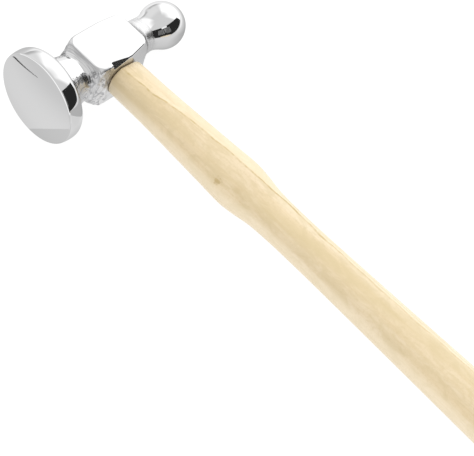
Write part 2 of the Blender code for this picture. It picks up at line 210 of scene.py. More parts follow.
def hermite(start, end, start_slope, end_slope, span, share):
    """A cubic from start to end over a span, with its slopes at both ends, at a share of the way."""
    square = share * share
    cube = square * share
    return (
        start * (2 * cube - 3 * square + 1)
        + end * (3 * square - 2 * cube)
        + span * start_slope * (cube - 2 * square + share)
        + span * end_slope * (cube - square)
    )


def through(stations, x):
    """A smooth curve through (x, value) stations."""
    for index in range(len(stations) - 1):
        (start_x, start), (end_x, end) = stations[index:index + 2]
        if x <= end_x:
            break
    before_x, before = stations[max(index - 1, 0)]
    after_x, after = stations[min(index + 2, len(stations) - 1)]
    span = end_x - start_x
    start_slope = (end - before) / (end_x - before_x)
    end_slope = (after - start) / (after_x - start_x)
    return hermite(start, end, start_slope, end_slope, span, (x - start_x) / span)


def smoothstep(low, high, value):
    share = min(1.0, max(0.0, (value - low) / (high - low)))
    return share * share * (3 - 2 * share)


def fade(low, high, value):
    """1 up to the low value, falling smoothly to 0 at the high one."""
    return 1 - smoothstep(low, high, value)


def plateau(value, rise_start, rise_end, fall_start, fall_end):
    """0, rising smoothly to 1, and falling smoothly to 0 again."""
    return smoothstep(rise_start, rise_end, value) * fade(fall_start, fall_end, value)


# ---------------- meshes

def linked(name, data):
    """A new item in the scene."""
    item = bpy.data.objects.new(name, data)
    bpy.context.scene.collection.objects.link(item)
    return item


def ring_mesh(name, rings):
    """A closed piece through rings of equally many points in the hammer's axes, each end closed by a fan."""
    rings = np.asarray(rings, float)
    ring_count, point_count = rings.shape[:2]
    points = list(map(tuple, in_frame(rings)))
    faces = []
    for ring in range(ring_count - 1):
        for point in range(point_count):
            following = (point + 1) % point_count
            low, high = ring * point_count, (ring + 1) * point_count
            faces.append((low + point, low + following, high + following, high + point))
    for ring, flip in ((0, True), (ring_count - 1, False)):
        centre = len(points)
        points.append(tuple(in_frame(rings[ring].mean(axis=0))[0]))
        for point in range(point_count):
            first = ring * point_count + point
            second = ring * point_count + (point + 1) % point_count
            faces.append((second, first, centre) if flip else (first, second, centre))
    mesh = bpy.data.meshes.new(name)
    mesh.from_pydata(points, [], faces)
    mesh.update()
    mesh.shade_smooth()
    return linked(name, mesh)


def cut_out(target, cutter):
    """Cuts the cutter's shape out of the target's mesh, for good."""
    modifier = target.modifiers.new("cut", "BOOLEAN")
    modifier.operation = "DIFFERENCE"
    modifier.solver = "EXACT"
    modifier.object = cutter
    evaluated = target.evaluated_get(bpy.context.evaluated_depsgraph_get())
    mesh = bpy.data.meshes.new_from_object(evaluated)
    target.modifiers.remove(modifier)
    target.data = mesh
    mesh.set_sharp_from_angle(angle=math.radians(SHARP_ANGLE))


def outwards(item):
    """Turns every face of a closed mesh outwards."""
    body = bmesh.new()
    body.from_mesh(item.data)
    bmesh.ops.recalc_face_normals(body, faces=body.faces)
    body.to_mesh(item.data)
    body.free()


# ---------------- head

def block_corner(y):
    """The radius of the eye block's long edges, which widens where they run out into the flares."""
    front = fade(BLOCK_FRONT_Y, BLOCK_FRONT_Y + CORNER_REACH, y)
    back = smoothstep(BLOCK_BACK_Y - CORNER_REACH, BLOCK_BACK_Y, y)
    return (BLOCK_EDGE_ROUND + (BLOCK_FRONT_CORNER - BLOCK_EDGE_ROUND) * front ** 2
            + (BLOCK_BACK_CORNER - BLOCK_EDGE_ROUND) * back ** 2)


def block_half_width(y):
    """Half the width of the eye block, without its shift."""
    widths = (BLOCK_FRONT_HALF_WIDTH, BLOCK_HALF_WIDTH, BLOCK_HALF_WIDTH, BLOCK_BACK_HALF_WIDTH)
    return float(np.interp(y, BLOCK_STATIONS, widths))


def head_shift(y):
    """How far the head's sections stand off its axis, towards the handle."""
    to_block = smoothstep(NECK_WAIST_Y, BLOCK_FRONT_Y, y)
    from_block = min(1.0, max(0.0, (y - BLOCK_WIDE_BACK_Y) / (BLOCK_BACK_Y - BLOCK_WIDE_BACK_Y)))
    by_ball = plateau(y, BLOCK_BACK_Y, BALL_CONE_Y, BALL_NECK_Y, BALL_JOIN_Y)
    return BLOCK_SHIFT * (to_block - from_block) + BALL_NECK_SHIFT * by_ball


def head_profile():
    """Rows of y, half width, half height and corner radius, finely sampled from the face to the ball."""
    rows = []

    def add(length, function):
        count = max(2, round(length / SAMPLE_GAP))
        rows.extend(function(step / count) for step in range(count))

    def round_row(y, radius):
        return (y, radius, radius, radius)

    def rim_radius(y):
        return RIM_RADIUS - (y - RIM_PEAK_Y) ** 2 / (2 * RIM_BULGE)

    face_radius = rim_radius(FACE_EDGE_Y + FACE_EDGE_ROUND)
    dome_radius = (face_radius ** 2 + FACE_CROWN ** 2) / (2 * FACE_CROWN)
    apex_y = FACE_EDGE_Y - FACE_CROWN
    inner = face_radius - FACE_EDGE_ROUND
    edge_y = apex_y + dome_radius - math.sqrt(dome_radius ** 2 - inner ** 2)

    def dome(share):
        radius = AXIS_RADIUS + (inner - AXIS_RADIUS) * share
        return round_row(apex_y + dome_radius - math.sqrt(dome_radius ** 2 - radius ** 2), radius)

    def face_edge(share):
        angle = math.pi / 2 * share
        return round_row(edge_y + FACE_EDGE_ROUND * (1 - math.cos(angle)),
                         inner + FACE_EDGE_ROUND * math.sin(angle))

    rim_y = edge_y + FACE_EDGE_ROUND

    def rim(share):
        y = rim_y + (RIM_END_Y - rim_y) * share
        return round_row(y, rim_radius(y))

    slope = math.radians(DISC_BACK_SLOPE)
    lean = math.asin((RIM_END_Y - RIM_PEAK_Y) / RIM_BULGE)

    def back_edge(share):
        angle = lean + (slope - lean) * share
        return round_row(RIM_END_Y + DISC_BACK_ROUND * (math.sin(angle) - math.sin(lean)),
                         rim_radius(RIM_END_Y) - DISC_BACK_ROUND * (math.cos(lean) - math.cos(angle)))

    slope_y, slope_radius = back_edge(1.0)[:2]
    foot_y = slope_y + (slope_radius - DISC_FOOT_RADIUS) / math.tan(slope)
    neck_slope = (NECK_RADIUS - NECK_START_RADIUS) / (NECK_WAIST_Y - NECK_START_Y)

    def foot(share):
        span = NECK_START_Y - foot_y
        radius = hermite(DISC_FOOT_RADIUS, NECK_START_RADIUS, -math.tan(slope), neck_slope, span, share)
        return round_row(foot_y + span * share, radius)

    def straight(start_y, start_radius, end_y, end_radius):
        def row(share):
            return round_row(start_y + (end_y - start_y) * share,
                             start_radius + (end_radius - start_radius) * share)
        return row

    def front_flare(share):
        spread = share ** FRONT_FLARE_POWER
        return (
            NECK_WAIST_Y + (BLOCK_FRONT_Y - NECK_WAIST_Y) * share,
            NECK_RADIUS + (BLOCK_FRONT_HALF_WIDTH - NECK_RADIUS) * spread,
            NECK_RADIUS + (BLOCK_HALF_HEIGHT - NECK_RADIUS) * spread,
            NECK_RADIUS + (BLOCK_FRONT_CORNER - NECK_RADIUS) * spread,
        )

    def back_flare(share):
        span = BALL_CONE_Y - BLOCK_BACK_Y
        cone_slope = (BALL_NECK_RADIUS - BALL_CONE_RADIUS) / (BALL_NECK_Y - BALL_CONE_Y)
        half_width = hermite(
            BLOCK_BACK_HALF_WIDTH, BALL_CONE_RADIUS, BACK_FLARE_SIDE_SLOPE, cone_slope, span, share)
        half_height = hermite(
            BLOCK_HALF_HEIGHT, BALL_CONE_RADIUS, BACK_FLARE_CHEEK_SLOPE, cone_slope, span, share)
        corner = half_width - (BLOCK_BACK_HALF_WIDTH - BLOCK_BACK_CORNER) * (1 - share) ** 2
        return (BLOCK_BACK_Y + span * share, half_width, half_height, corner)

    def block(start_y, end_y):
        def row(share):
            y = start_y + (end_y - start_y) * share
            return (y, block_half_width(y), BLOCK_HALF_HEIGHT, block_corner(y))
        return row

    join = BALL_JOIN_Y - BALL_CENTRE_Y
    join_radius = math.sqrt(BALL_RADIUS ** 2 - join ** 2)
    swell = BALL_JOIN_Y - BALL_NECK_Y
    start_angle = math.acos(join / BALL_RADIUS)

    def ball_neck(share):
        power = -join / join_radius * swell / (join_radius - BALL_NECK_RADIUS)
        return round_row(BALL_NECK_Y + swell * share,
                         BALL_NECK_RADIUS + (join_radius - BALL_NECK_RADIUS) * share ** power)

    def ball(share):
        angle = start_angle * (1 - share)
        return round_row(BALL_CENTRE_Y + BALL_RADIUS * math.cos(angle),
                         max(AXIS_RADIUS, BALL_RADIUS * math.sin(angle)))

    add(inner, dome)
    add(FACE_EDGE_ROUND * math.pi / 2, face_edge)
    add(RIM_END_Y - rim_y, rim)
    add(DISC_BACK_ROUND * (slope - lean), back_edge)
    add(slope_radius - DISC_FOOT_RADIUS, straight(slope_y, slope_radius, foot_y, DISC_FOOT_RADIUS))
    add((NECK_START_Y - foot_y) * 1.5, foot)
    add(NECK_WAIST_Y - NECK_START_Y, straight(NECK_START_Y, NECK_START_RADIUS, NECK_WAIST_Y, NECK_RADIUS))
    add(BLOCK_FRONT_Y - NECK_WAIST_Y, front_flare)
    for start_y, end_y in zip(BLOCK_STATIONS, BLOCK_STATIONS[1:]):
        add(end_y - start_y, block(start_y, end_y))
    add(BALL_CONE_Y - BLOCK_BACK_Y, back_flare)
    add(BALL_NECK_Y - BALL_CONE_Y, straight(BALL_CONE_Y, BALL_CONE_RADIUS, BALL_NECK_Y, BALL_NECK_RADIUS))
    add(swell, ball_neck)
    add(BALL_RADIUS * start_angle, ball)
    rows.append(ball(1.0))
    return np.array(rows)


def soften(rows):
    """Rounds every crease a little, by averaging each row with its neighbours."""
    reach = round(3 * CREASE_BLUR / SAMPLE_GAP)
    offsets = np.arange(-reach, reach + 1)
    weights = np.exp(-0.5 * (offsets * SAMPLE_GAP / CREASE_BLUR) ** 2)
    weights /= weights.sum()
    before = 2 * rows[0] - rows[reach:0:-1]
    after = 2 * rows[-1] - rows[-2:-reach - 2:-1]
    padded = np.vstack((before, rows, after))
    return sum(weight * padded[index:index + len(rows)] for index, weight in enumerate(weights))


def thin_out(rows):
    """Keeps rows close together where the profile turns, and further apart where it is straight."""
    moves = np.diff(rows, axis=0)
    lengths = np.linalg.norm(moves[:, :3], axis=1)
    headings = moves[:, :3] / lengths[:, None]
    turns = np.zeros(len(lengths))
    turns[1:] = np.linalg.norm(np.diff(headings, axis=0), axis=1)
    travel = np.concatenate(([0.0], np.cumsum(lengths / RING_GAP + turns * TURN_WEIGHT)))
    wanted = np.linspace(0.0, travel[-1], round(travel[-1]) + 1)
    return np.column_stack([np.interp(wanted, travel, column) for column in rows.T])


def head_rings():
    """The head's sections: boxes with round corners, and circles where the corner fills the whole side."""
    steps = np.arange(RING_POINTS) / RING_POINTS * 2 * math.pi
    angles = steps + DIAGONAL_CROWDING / 4 * np.sin(4 * steps)
    cosine, sine = np.abs(np.cos(angles)), np.abs(np.sin(angles))
    rings = []
    for y, half_width, half_height, corner in thin_out(soften(head_profile())):
        side = half_width / np.maximum(cosine, 1e-9)
        top = half_height / np.maximum(sine, 1e-9)
        core_x, core_z = half_width - corner, half_height - corner
        middle = cosine * core_x + sine * core_z
        arc = middle + np.sqrt(np.maximum(middle ** 2 - core_x ** 2 - core_z ** 2 + corner ** 2, 0.0))
        reach = np.where(side * sine <= core_z, side, np.where(top * cosine <= core_x, top, arc))
        rings.append(np.column_stack((reach * np.cos(angles) + head_shift(y), np.full(RING_POINTS, y),
                                      reach * np.sin(angles))))
    return np.array(rings)


def worked(rings):
    """What hand work leaves: uneven flanks by the flares, and a flat ground over the eye's mouth."""
    shaped = rings.copy()
    for ring in shaped:
        y = ring[0][1]
        uneven = plateau(y, *UNEVEN_FLARE) + UNEVEN_BALL_SHARE * plateau(y, *UNEVEN_BALL_NECK)
        flat_depth = 0.0
        if FLAT_START_Y - FLAT_RUN_OUT < y < FLAT_END_Y:
            flat_depth = FLAT_DEPTH * (FLAT_END_Y - y) / (FLAT_END_Y - FLAT_START_Y)
            flat_depth *= smoothstep(FLAT_START_Y - FLAT_RUN_OUT, FLAT_START_Y, y)
        if uneven + flat_depth == 0:
            continue
        edge = FLAT_LEAN.dot(Vector((BLOCK_SHIFT + BLOCK_HALF_WIDTH, BLOCK_HALF_HEIGHT))) - flat_depth
        for point in ring:
            flank = smoothstep(*UNEVEN_SIDE_X, abs(point[0])) * fade(*UNEVEN_TOP_Z, point[2])
            fine = FINE_SHARE * noise.noise(Vector(point) * FINE_WAVES)
            rough = noise.noise(Vector(point) * COARSE_WAVES) + fine
            outward = Vector((point[0], 0, point[2])).normalized()
            lift = UNEVENNESS * rough * flank * uneven
            point[0] += outward.x * lift
            point[2] += outward.z * lift
            over = FLAT_LEAN.x * point[0] + FLAT_LEAN.y * point[2] - edge
            if flat_depth > 0 and over > 0:
                point[0] -= FLAT_LEAN.x * over
                point[2] -= FLAT_LEAN.y * over
    return shaped


def even_angles(count):
    """Angles all around, none of them on an axis."""
    return 2 * math.pi * (np.arange(count) + 0.5) / count


def oval(x, half_width, half_height, power, angles):
    """A section across X, an ellipse at power 2 and squarer at higher ones."""
    cosine, sine = np.cos(angles), np.sin(angles)
    y = half_width * np.sign(cosine) * np.abs(cosine) ** (2 / power)
    z = half_height * np.sign(sine) * np.abs(sine) ** (2 / power)
    return np.column_stack((np.full(len(angles), x), y, z))


def eye_oval(x, growth, angles):
    """The eye's section, which opens out towards the head's top, grown by so many mm."""
    spread = EYE_SPREAD * max(0.0, x / TOP_X) + growth
    return oval(x, EYE_HALF_LENGTH + spread, EYE_HALF_HEIGHT + spread, 2.0, angles)


# ---------------- handle

def handle_angles(x):
    """Angles around the handle that always put a point on each of its two ridges."""
    share = through(RIDGE_STATIONS, x) / through(HANDLE_STATIONS, x)
    ridge = math.acos(math.copysign(abs(share) ** (HANDLE_SQUARENESS / 2), share))
    half = HANDLE_POINTS // 2
    ball_side = np.linspace(-ridge, ridge, half, endpoint=False)
    face_side = np.linspace(ridge, 2 * math.pi - ridge, half, endpoint=False)
    return np.concatenate((ball_side, face_side))


def with_ridges(ring, height):
    """Raises a ridge along the upper and lower side of a handle section, steeper towards the ball."""
    half = len(ring) // 2
    steps = np.linalg.norm(np.roll(ring, -1, axis=0) - ring, axis=1)
    normals = np.roll(ring, -1, axis=0) - np.roll(ring, 1, axis=0)
    outward = np.column_stack((np.zeros(len(ring)), normals[:, 2], -normals[:, 1]))
    outward /= np.linalg.norm(outward, axis=1)[:, None]
    lift = np.zeros(len(ring))
    for start, reach in ((0, RIDGE_BALL_REACH), (half, RIDGE_FACE_REACH)):
        travel = np.concatenate(([0.0], np.cumsum(steps[start:start + half])))
        nearest = np.minimum(travel, travel[-1] - travel)[:half]
        lift[start:start + half] = height * np.maximum(1 - nearest / reach, 0.0) ** 2
    return ring + outward * lift[:, None]


def handle_section(x, inset=0.0):
    half_width = through(HANDLE_STATIONS, x)
    half_height = half_width * HANDLE_FLATNESS
    ring = oval(x, half_width - inset, half_height - inset, HANDLE_SQUARENESS, handle_angles(x))
    return with_ridges(ring, RIDGE_HEIGHT * fade(*RIDGE_END, x))


def trimmed(ring, share, proud):
    """A ring drawn in to a share of its size, lying just proud of the head's top whatever its slope."""
    drawn = ring * np.array((1.0, share, share))
    for point in drawn:
        point[0] = head_shift(point[1]) - block_half_width(point[1]) - proud
    return drawn


def handle_rings():
    angles = handle_angles(SHOULDER_X)
    tenon_end = eye_oval(TOP_X, -TENON_GAP, angles)
    rings = [trimmed(tenon_end, share, TENON_PROUD) for share in TENON_SHARES]
    rings.append(trimmed(tenon_end, 1.0, TENON_PROUD - TENON_EDGE_ROUND))
    rings += [eye_oval(x, -TENON_GAP, angles) for x in TENON_X]
    for step in range(SHOULDER_STEPS + 1):
        angle = math.pi / 2 * step / SHOULDER_STEPS
        rings.append(handle_section(SHOULDER_X + SHOULDER_ROUND * (1 - math.cos(angle)),
                                    SHOULDER_ROUND * (1 - math.sin(angle))))
    start_x, end_x = SHOULDER_X + SHOULDER_ROUND, BUTT_X - BUTT_ROUND
    count = round(end_x - start_x)
    rings += [handle_section(start_x + (end_x - start_x) * step / count) for step in range(1, count + 1)]
    for step in range(1, BUTT_STEPS + 1):
        angle = math.pi / 2 * step / BUTT_STEPS
        rings.append(handle_section(end_x + BUTT_ROUND * math.sin(angle), BUTT_ROUND * (1 - math.cos(angle))))
    return np.array(rings)


def mark_gap(item, name, stations):
    """Stores on each point how far it lies across the handle from a line along it, in mm."""
    inverse = place.inverted()
    gaps = []
    for vertex in item.data.vertices:
        point = inverse @ vertex.co
        gaps.append(point.y - through(stations, max(point.x, SHOULDER_X)))
    item.data.attributes.new(name, "FLOAT", "POINT").data.foreach_set("value", gaps)


def wedge_rings(tip_x, size, tip_size, proud, barbs=0, barb_depth=0.0):
    """A wedge from its tip to its driven end, with barbs along it if it has them."""
    rings = []
    for step in range(WEDGE_STEPS + 1):
        share = step / WEDGE_STEPS
        x = tip_x + (WEDGE_BODY_END_X - tip_x) * share
        half_y = tip_size[0] + (size[0] - tip_size[0]) * share
        half_z = tip_size[1] + (size[1] - tip_size[1]) * share
        bite = barb_depth * (share * barbs % 1.0)
        rings.append(oval(x, half_y - bite, half_z - bite, WEDGE_SQUARENESS, even_angles(WEDGE_POINTS)))
    end = oval(TOP_X, *size, WEDGE_SQUARENESS, even_angles(WEDGE_POINTS))
    rings.append(trimmed(end, 1.0, proud - WEDGE_EDGE_ROUND))
    rings += [trimmed(end, share, proud) for share in WEDGE_END_SHARES]
    return np.array(rings)


# ---------------- material nodes

def new_material(name):
    """A material, its node tree and its shader."""
    material = bpy.data.materials.new(name)
    material.use_nodes = True
    tree = material.node_tree
    return material, tree, tree.nodes["Principled BSDF"]


def math_node(tree, operation, first, second=None, third=None, clamp=False):
    node = tree.nodes.new("ShaderNodeMath")
    node.operation = operation
    node.use_clamp = clamp
    for socket, value in zip(node.inputs, (first, second, third)):
        if value is None:
            continue
        if isinstance(value, (int, float)):
            socket.default_value = value
        else:
            tree.links.new(value, socket)
    return node.outputs[0]


def added(tree, first, second):
    return math_node(tree, "ADD", first, second)


def times(tree, first, second):
    return math_node(tree, "MULTIPLY", first, second)


def times_plus(tree, first, second, base):
    return math_node(tree, "MULTIPLY_ADD", first, second, base)


def size_of(tree, value):
    return math_node(tree, "ABSOLUTE", value)


def hammer_axes(tree):
    """The shading point in the hammer's axes, in mm."""
    coordinates = tree.nodes.new("ShaderNodeTexCoord")
    mapping = tree.nodes.new("ShaderNodeMapping")
    inverse = turn.inverted()
    mapping.inputs["Scale"].default_value = (1 / MM,) * 3
    mapping.inputs["Rotation"].default_value = inverse.to_euler("XYZ")
    mapping.inputs["Location"].default_value = inverse @ eye_middle * (-1 / MM)
    tree.links.new(coordinates.outputs["Object"], mapping.inputs["Vector"])
    return mapping.outputs["Vector"]


def hammer_normal(tree):
    """The surface's outward direction in the hammer's axes."""
    geometry = tree.nodes.new("ShaderNodeNewGeometry")
    mapping = tree.nodes.new("ShaderNodeMapping")
    mapping.vector_type = "VECTOR"
    mapping.inputs["Rotation"].default_value = turn.inverted().to_euler("XYZ")
    tree.links.new(geometry.outputs["Normal"], mapping.inputs["Vector"])
    return mapping.outputs["Vector"]


def split(tree, vector):
    """The X, Y and Z of a vector."""
    node = tree.nodes.new("ShaderNodeSeparateXYZ")
    tree.links.new(vector, node.inputs[0])
    return [node.outputs[index] for index in range(3)]


def attribute(tree, name):
    node = tree.nodes.new("ShaderNodeAttribute")
    node.attribute_name = name
    return node.outputs["Fac"]


def distance_from(tree, point, centre):
    node = tree.nodes.new("ShaderNodeVectorMath")
    node.operation = "DISTANCE"
    node.inputs[1].default_value = centre
    tree.links.new(point, node.inputs[0])
    return node.outputs["Value"]


def noise_node(tree, vector, scale=1.0, detail=3.0, roughness=0.5, distortion=0.0):
    node = tree.nodes.new("ShaderNodeTexNoise")
    node.inputs["Scale"].default_value = scale
    node.inputs["Detail"].default_value = detail
    node.inputs["Roughness"].default_value = roughness
    node.inputs["Distortion"].default_value = distortion
    tree.links.new(vector, node.inputs["Vector"])
    return node.outputs[0]


def grain(tree, point, scale, detail, roughness=0.5, shift=(0, 0, 0), distortion=0.0):
    """Noise that runs on for longer along an axis the smaller its scale there."""
    mapping = tree.nodes.new("ShaderNodeMapping")
    mapping.inputs["Scale"].default_value = scale
    mapping.inputs["Location"].default_value = shift
    tree.links.new(point, mapping.inputs["Vector"])
    return noise_node(tree, mapping.outputs["Vector"], 1.0, detail, roughness, distortion)


def ramp(tree, value, low, high, from_value=0.0, to_value=1.0):
    """Runs smoothly from one value to another as its input goes from low to high."""
    node = tree.nodes.new("ShaderNodeMapRange")
    node.interpolation_type = "SMOOTHSTEP"
    node.inputs["From Min"].default_value = low
    node.inputs["From Max"].default_value = high
    node.inputs["To Min"].default_value = from_value
    node.inputs["To Max"].default_value = to_value
    tree.links.new(value, node.inputs["Value"])
    return node.outputs[0]


def fall(tree, value, low, high):
    return ramp(tree, value, low, high, 1.0, 0.0)


def band_mask(tree, value, low, high, blur):
    """1 between low and high, fading to 0 over a blur outside them."""
    return times(tree, ramp(tree, value, low - blur, low), fall(tree, value, high, high + blur))


def blend_colour(tree, share, first, second):
    node = tree.nodes.new("ShaderNodeMix")
    node.data_type = "RGBA"
    sockets = [socket for socket in node.inputs if socket.enabled]
    for socket, value in zip(sockets, (share, first, second)):
        if isinstance(value, tuple):
            socket.default_value = (*value, 1.0)
        else:
            tree.links.new(value, socket)
    return [socket for socket in node.outputs if socket.enabled][0]


def layered(tree, base, layers):
    """A base colour with others laid over it in turn, each by its own share."""
    for share, colour in layers:
        base = blend_colour(tree, share, base, colour)
    return base


def add_bump(tree, shader, height, strength, distance):
    node = tree.nodes.new("ShaderNodeBump")
    node.inputs["Strength"].default_value = strength
    node.inputs["Distance"].default_value = distance
    tree.links.new(height, node.inputs["Height"])
    tree.links.new(node.outputs[0], shader.inputs["Normal"])


# ---------------- steel

STEEL_EDGE_TINT = (0.70, 0.70, 0.70, 1.0)
STEEL = (0.69, 0.69, 0.692)
STEEL_STREAK = (0.44, 0.44, 0.445)
# Painted shade along the crease between the front flare and the block
STEEL_CREASE_PAINTED_SHADE = (0.40, 0.40, 0.405)
# The skin's swirl lines, partly painted reflection
STEEL_SKIN_LINE_AND_REFLECTION = (0.43, 0.43, 0.44)
# Painted dark reflection for the front neck
STEEL_PAINTED_DARK_REFLECTION = (0.12, 0.12, 0.12)
TARNISHED_STEEL = (0.27, 0.245, 0.225)
FILED_STEEL = (0.46, 0.46, 0.46)

# Bands along the head's axis: start, end and blur in mm
FRONT_FLARE_BAND = (-12.0, -9.7, 0.4)
CREASE_SHADE_BAND = (-10.2, -9.5, 0.7)
BALL_NECK_BAND = (9.8, 14.9, 0.5)
SKIN_BAND = (-17.6, -6.6, 1.6)
NECK_REFLECTION_BAND = (-13.4, -11.3, 0.3)
GROUND_REACH = 9.6

# Angles around the head's axis, down from the upper cheek: the skin begins higher on the neck
SKIN_EDGE = (math.radians(41), math.radians(45))
SKIN_NECK_RISE = math.radians(12)
SKIN_RISE_Y = (-13.2, -10.6)
NECK_REFLECTION_ANGLES = (math.radians(45), math.radians(58), math.radians(5))

# The X part of the normal on the block's flat ends, and on the flat over the eye's mouth
END_NORMAL = (0.93, 0.985)
MOUTH_NORMAL = (0.73, 0.75, 0.03)


def steel_material():
    """Mirror-polished steel, with ground flares and ends, a brushed ball neck, and forged skin; its colour
    also carries painted dark reflections on the front neck and in the skin's lines, and a painted shade line
    along the crease where the front flare meets the block.
    """
    material, tree, shader = new_material("polished_steel_surface")
    shader.inputs["Metallic"].default_value = 1.0
    shader.inputs["Specular Tint"].default_value = STEEL_EDGE_TINT
    point = hammer_axes(tree)
    x, y, z = split(tree, point)
    normal_x = split(tree, hammer_normal(tree))[0]
    around = math_node(tree, "ARCTAN2", size_of(tree, x), z)
    turned_grain = grain(tree, point, (0.12, 4.0, 0.12), 4.0, 0.65)
    ground_grain = grain(tree, point, (0.3, 0.4, 4.0), 4.0, 0.65)
    cloud = noise_node(tree, point, scale=0.22, detail=2.0)

    front_flare = band_mask(tree, y, *FRONT_FLARE_BAND)
    ball_neck = band_mask(tree, y, *BALL_NECK_BAND)
    turned = math_node(tree, "MULTIPLY_ADD", ball_neck, 0.4, front_flare, clamp=True)
    on_block = math_node(tree, "LESS_THAN", size_of(tree, y), GROUND_REACH)
    ground = times(tree, ramp(tree, size_of(tree, normal_x), *END_NORMAL), on_block)
    mouth_flat = times(tree, band_mask(tree, normal_x, *MOUTH_NORMAL), on_block)

    skin_angle = added(tree, around, ramp(tree, y, *SKIN_RISE_Y, SKIN_NECK_RISE, 0.0))
    low_flank = ramp(tree, skin_angle, *SKIN_EDGE)
    skin = times(tree, low_flank, band_mask(tree, y, *SKIN_BAND))
    swirl_field = noise_node(tree, point, scale=0.20, detail=1.5, distortion=1.2)
    swirls = math_node(tree, "SINE", times(tree, swirl_field, 30.0))
    # The forged skin's own swirl lines, painted darker than the steel to stand in for the dark reflections in
    # its crinkles
    skin_lines_and_painted_reflection = times(tree, ramp(tree, swirls, 0.35, 0.95), skin)
    # Painted reflection: near-black streaks on the front neck, standing in for the dark surroundings mirrored
    # there
    reflection_patch = times(tree, band_mask(tree, y, *NECK_REFLECTION_BAND), band_mask(tree, around, *NECK_REFLECTION_ANGLES))
    reflection_waves = math_node(tree, "SINE", times_plus(tree, cloud, 9.0, times(tree, y, 11.0)))
    painted_neck_reflection = times(tree, reflection_patch, ramp(tree, reflection_waves, -0.9, 0.2))
    streaks = times(tree, ramp(tree, turned_grain, 0.42, 0.66), turned)
    # Painted shade: a streaked dark line along the crease where the front flare meets the block
    edge_streaks = times(tree, ramp(tree, turned_grain, 0.3, 0.6, 0.3, 0.9), fall(tree, low_flank, 0.0, 1.0))
    painted_crease_shade = times(tree, band_mask(tree, y, *CREASE_SHADE_BAND), edge_streaks)

    roughness = times_plus(tree, cloud, 0.02, 0.03)
    for finish, amount in (
        (times(tree, turned, turned_grain), 0.10),
        (ball_neck, 0.26),
        (times(tree, ground, ground_grain), 0.30),
        (skin, 0.24),
        (mouth_flat, 0.17),
    ):
        roughness = times_plus(tree, finish, amount, roughness)
    tree.links.new(roughness, shader.inputs["Roughness"])

    tone = layered(tree, STEEL, (
        (streaks, STEEL_STREAK),
        (painted_crease_shade, STEEL_CREASE_PAINTED_SHADE),
        (skin_lines_and_painted_reflection, STEEL_SKIN_LINE_AND_REFLECTION),
        (painted_neck_reflection, STEEL_PAINTED_DARK_REFLECTION),
    ))
    tree.links.new(tone, shader.inputs["Base Color"])

    marks = times_plus(tree, ground_grain, ground, times(tree, turned_grain, turned))
    marks = times_plus(tree, swirls, times(tree, skin, -1.6), marks)
    add_bump(tree, shader, marks, 0.16, 0.0001)
    return material


def wedge_steel_material():
    """Plain steel, filed across and a little tarnished."""
    material, tree, shader = new_material("wedge_steel_surface")
    shader.inputs["Metallic"].default_value = 1.0
    point = hammer_axes(tree)
    file_marks = grain(tree, point, (1.0, 0.5, 7.0), 4.0, 0.7)
    tarnish = noise_node(tree, point, scale=0.7, detail=4.0)
    tone = blend_colour(tree, ramp(tree, tarnish, 0.35, 0.70), FILED_STEEL, TARNISHED_STEEL)
    tree.links.new(tone, shader.inputs["Base Color"])
    tree.links.new(times_plus(tree, file_marks, 0.25, 0.22), shader.inputs["Roughness"])
    add_bump(tree, shader, file_marks, 0.4, 0.0001)
    return material


# ---------------- wood

PALE_WOOD = (0.83, 0.69, 0.48)
WOOD_STREAK = (0.79, 0.64, 0.41)
WOOD_FIBRE = (0.70, 0.54, 0.31)
WOOD_FIGURE = (0.67, 0.54, 0.31)
WOOD_SPECKLE = (0.66, 0.52, 0.29)
# Painted shade on the grip's flat facet
WOOD_FACET_PAINTED_SHADE = (0.70, 0.565, 0.35)
# Painted highlight on the handle's ball side
WOOD_BALL_SIDE_PAINTED_LIGHT = (0.90, 0.80, 0.61)
# A darker band down the grip
WOOD_DARK_BAND = (0.67, 0.54, 0.305)
# Painted light on the handle's sides
WOOD_LOW_SIDE_PAINTED_LIGHT = (0.92, 0.80, 0.60)
WOOD_KNOT = (0.54, 0.40, 0.18)
WORN_RIDGE = (0.56, 0.42, 0.18)
SECOND_LINE = (0.60, 0.46, 0.22)
SECOND_LINE_GAP = -1.3
# Painted shade: a darker brown ring on the handle right by the shoulder, where the gap against the head lies
# in shadow
SHOULDER_PAINTED_SHADE = (0.36, 0.24, 0.12)
END_GRAIN = (0.66, 0.49, 0.29)
END_GRAIN_RING = (0.50, 0.35, 0.19)
PITH_Y = -14.0
PITH_Z = -34.0
RING_RATE = 4.2
WEDGE_WOOD = (0.60, 0.42, 0.235)
WEDGE_WOOD_BAND = (0.45, 0.29, 0.145)
WEDGE_WOOD_PORE = (0.25, 0.15, 0.075)


def wedge_wood_material():
    """Darker hardwood end grain, crushed a little where it was driven in."""
    material, tree, shader = new_material("wedge_hardwood_surface")
    point = hammer_axes(tree)
    pores = grain(tree, point, (0.4, 5.0, 5.0), 5.0, 0.7)
    bands = grain(tree, point, (0.1, 0.6, 2.2), 3.0)
    tone = layered(tree, WEDGE_WOOD, (
        (ramp(tree, bands, 0.35, 0.68), WEDGE_WOOD_BAND),
        (ramp(tree, pores, 0.55, 0.78, 0.0, 0.7), WEDGE_WOOD_PORE),
    ))
    tree.links.new(tone, shader.inputs["Base Color"])
    tree.links.new(times_plus(tree, pores, 0.2, 0.55), shader.inputs["Roughness"])
    add_bump(tree, shader, pores, 0.5, 0.0002)
    return material


